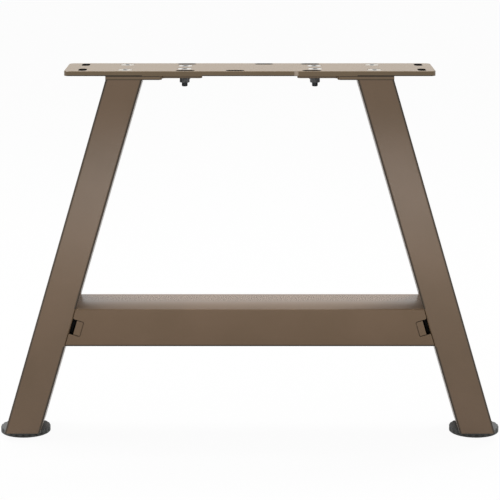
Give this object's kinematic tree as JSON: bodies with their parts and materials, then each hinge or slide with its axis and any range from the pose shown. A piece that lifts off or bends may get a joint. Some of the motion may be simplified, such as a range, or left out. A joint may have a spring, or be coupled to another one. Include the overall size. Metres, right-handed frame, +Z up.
{
  "type": "trestle table leg",
  "caption": "Low trestle table leg of leaning rectangular tubes with a crossbar, a slotted top plate and levelling feet.",
  "frame": {"origin": "centre of the footprint, on the floor under both feet", "axes": "X along the leg's width, front face towards -Y, +Z up to the table top"},
  "size_m": [0.5366, 0.07, 0.3935],
  "materials": {
    "frame_paint": "satin taupe bronze powder coat",
    "zinc_steel": "zinc plated",
    "foot_plastic": "dark grey moulded"
  },
  "bodies": {
    "frame": {"crossbar": "frame_paint", "left_back_leg_screw": "zinc_steel", "left_back_tongue_bolt": "zinc_steel", "left_back_tongue_nut": "zinc_steel", "left_flange_plate": "frame_paint", "left_foot_plate": "frame_paint", "left_front_leg_screw": "zinc_steel", "left_front_tongue_bolt": "zinc_steel", "left_front_tongue_nut": "zinc_steel", "left_joint_bolt": "zinc_steel", "left_joint_nut": "zinc_steel", "left_joint_plate": "frame_paint", "left_leg": "frame_paint", "left_window_cover": "frame_paint", "right_back_leg_screw": "zinc_steel", "right_back_tongue_bolt": "zinc_steel", "right_back_tongue_nut": "zinc_steel", "right_flange_plate": "frame_paint", "right_foot_plate": "frame_paint", "right_front_leg_screw": "zinc_steel", "right_front_tongue_bolt": "zinc_steel", "right_front_tongue_nut": "zinc_steel", "right_joint_bolt": "zinc_steel", "right_joint_nut": "zinc_steel", "right_joint_plate": "frame_paint", "right_leg": "frame_paint", "right_window_cover": "frame_paint", "top_plate": "frame_paint"},
    "left_stud": {"left_foot_stud": "zinc_steel"},
    "right_stud": {"right_foot_stud": "zinc_steel"},
    "left_disc": {"left_foot_disc": "foot_plastic"},
    "right_disc": {"right_foot_disc": "foot_plastic"}
  },
  "joints": [
    {"name": "left_foot_travel", "type": "slide", "parent": "frame", "child": "left_stud", "axis": [0, 0, -1], "range_m": [0, 0.0101]},
    {"name": "left_foot_turn", "type": "hinge", "parent": "left_stud", "child": "left_disc", "pos_m": [-0.24181, 0, 0.003], "axis": [0, 0, -1], "range_deg": [0, 2880]},
    {"name": "right_foot_travel", "type": "slide", "parent": "frame", "child": "right_stud", "axis": [0, 0, -1], "range_m": [0, 0.0101]},
    {"name": "right_foot_turn", "type": "hinge", "parent": "right_stud", "child": "right_disc", "pos_m": [0.24181, 0, 0.003], "axis": [0, 0, -1], "range_deg": [0, 2880]}
  ],
  "couplings": [
    {"joint": "left_foot_travel", "follows": "left_foot_turn", "m_per_rad": 0.00019894},
    {"joint": "right_foot_travel", "follows": "right_foot_turn", "m_per_rad": 0.00019894}
  ]
}
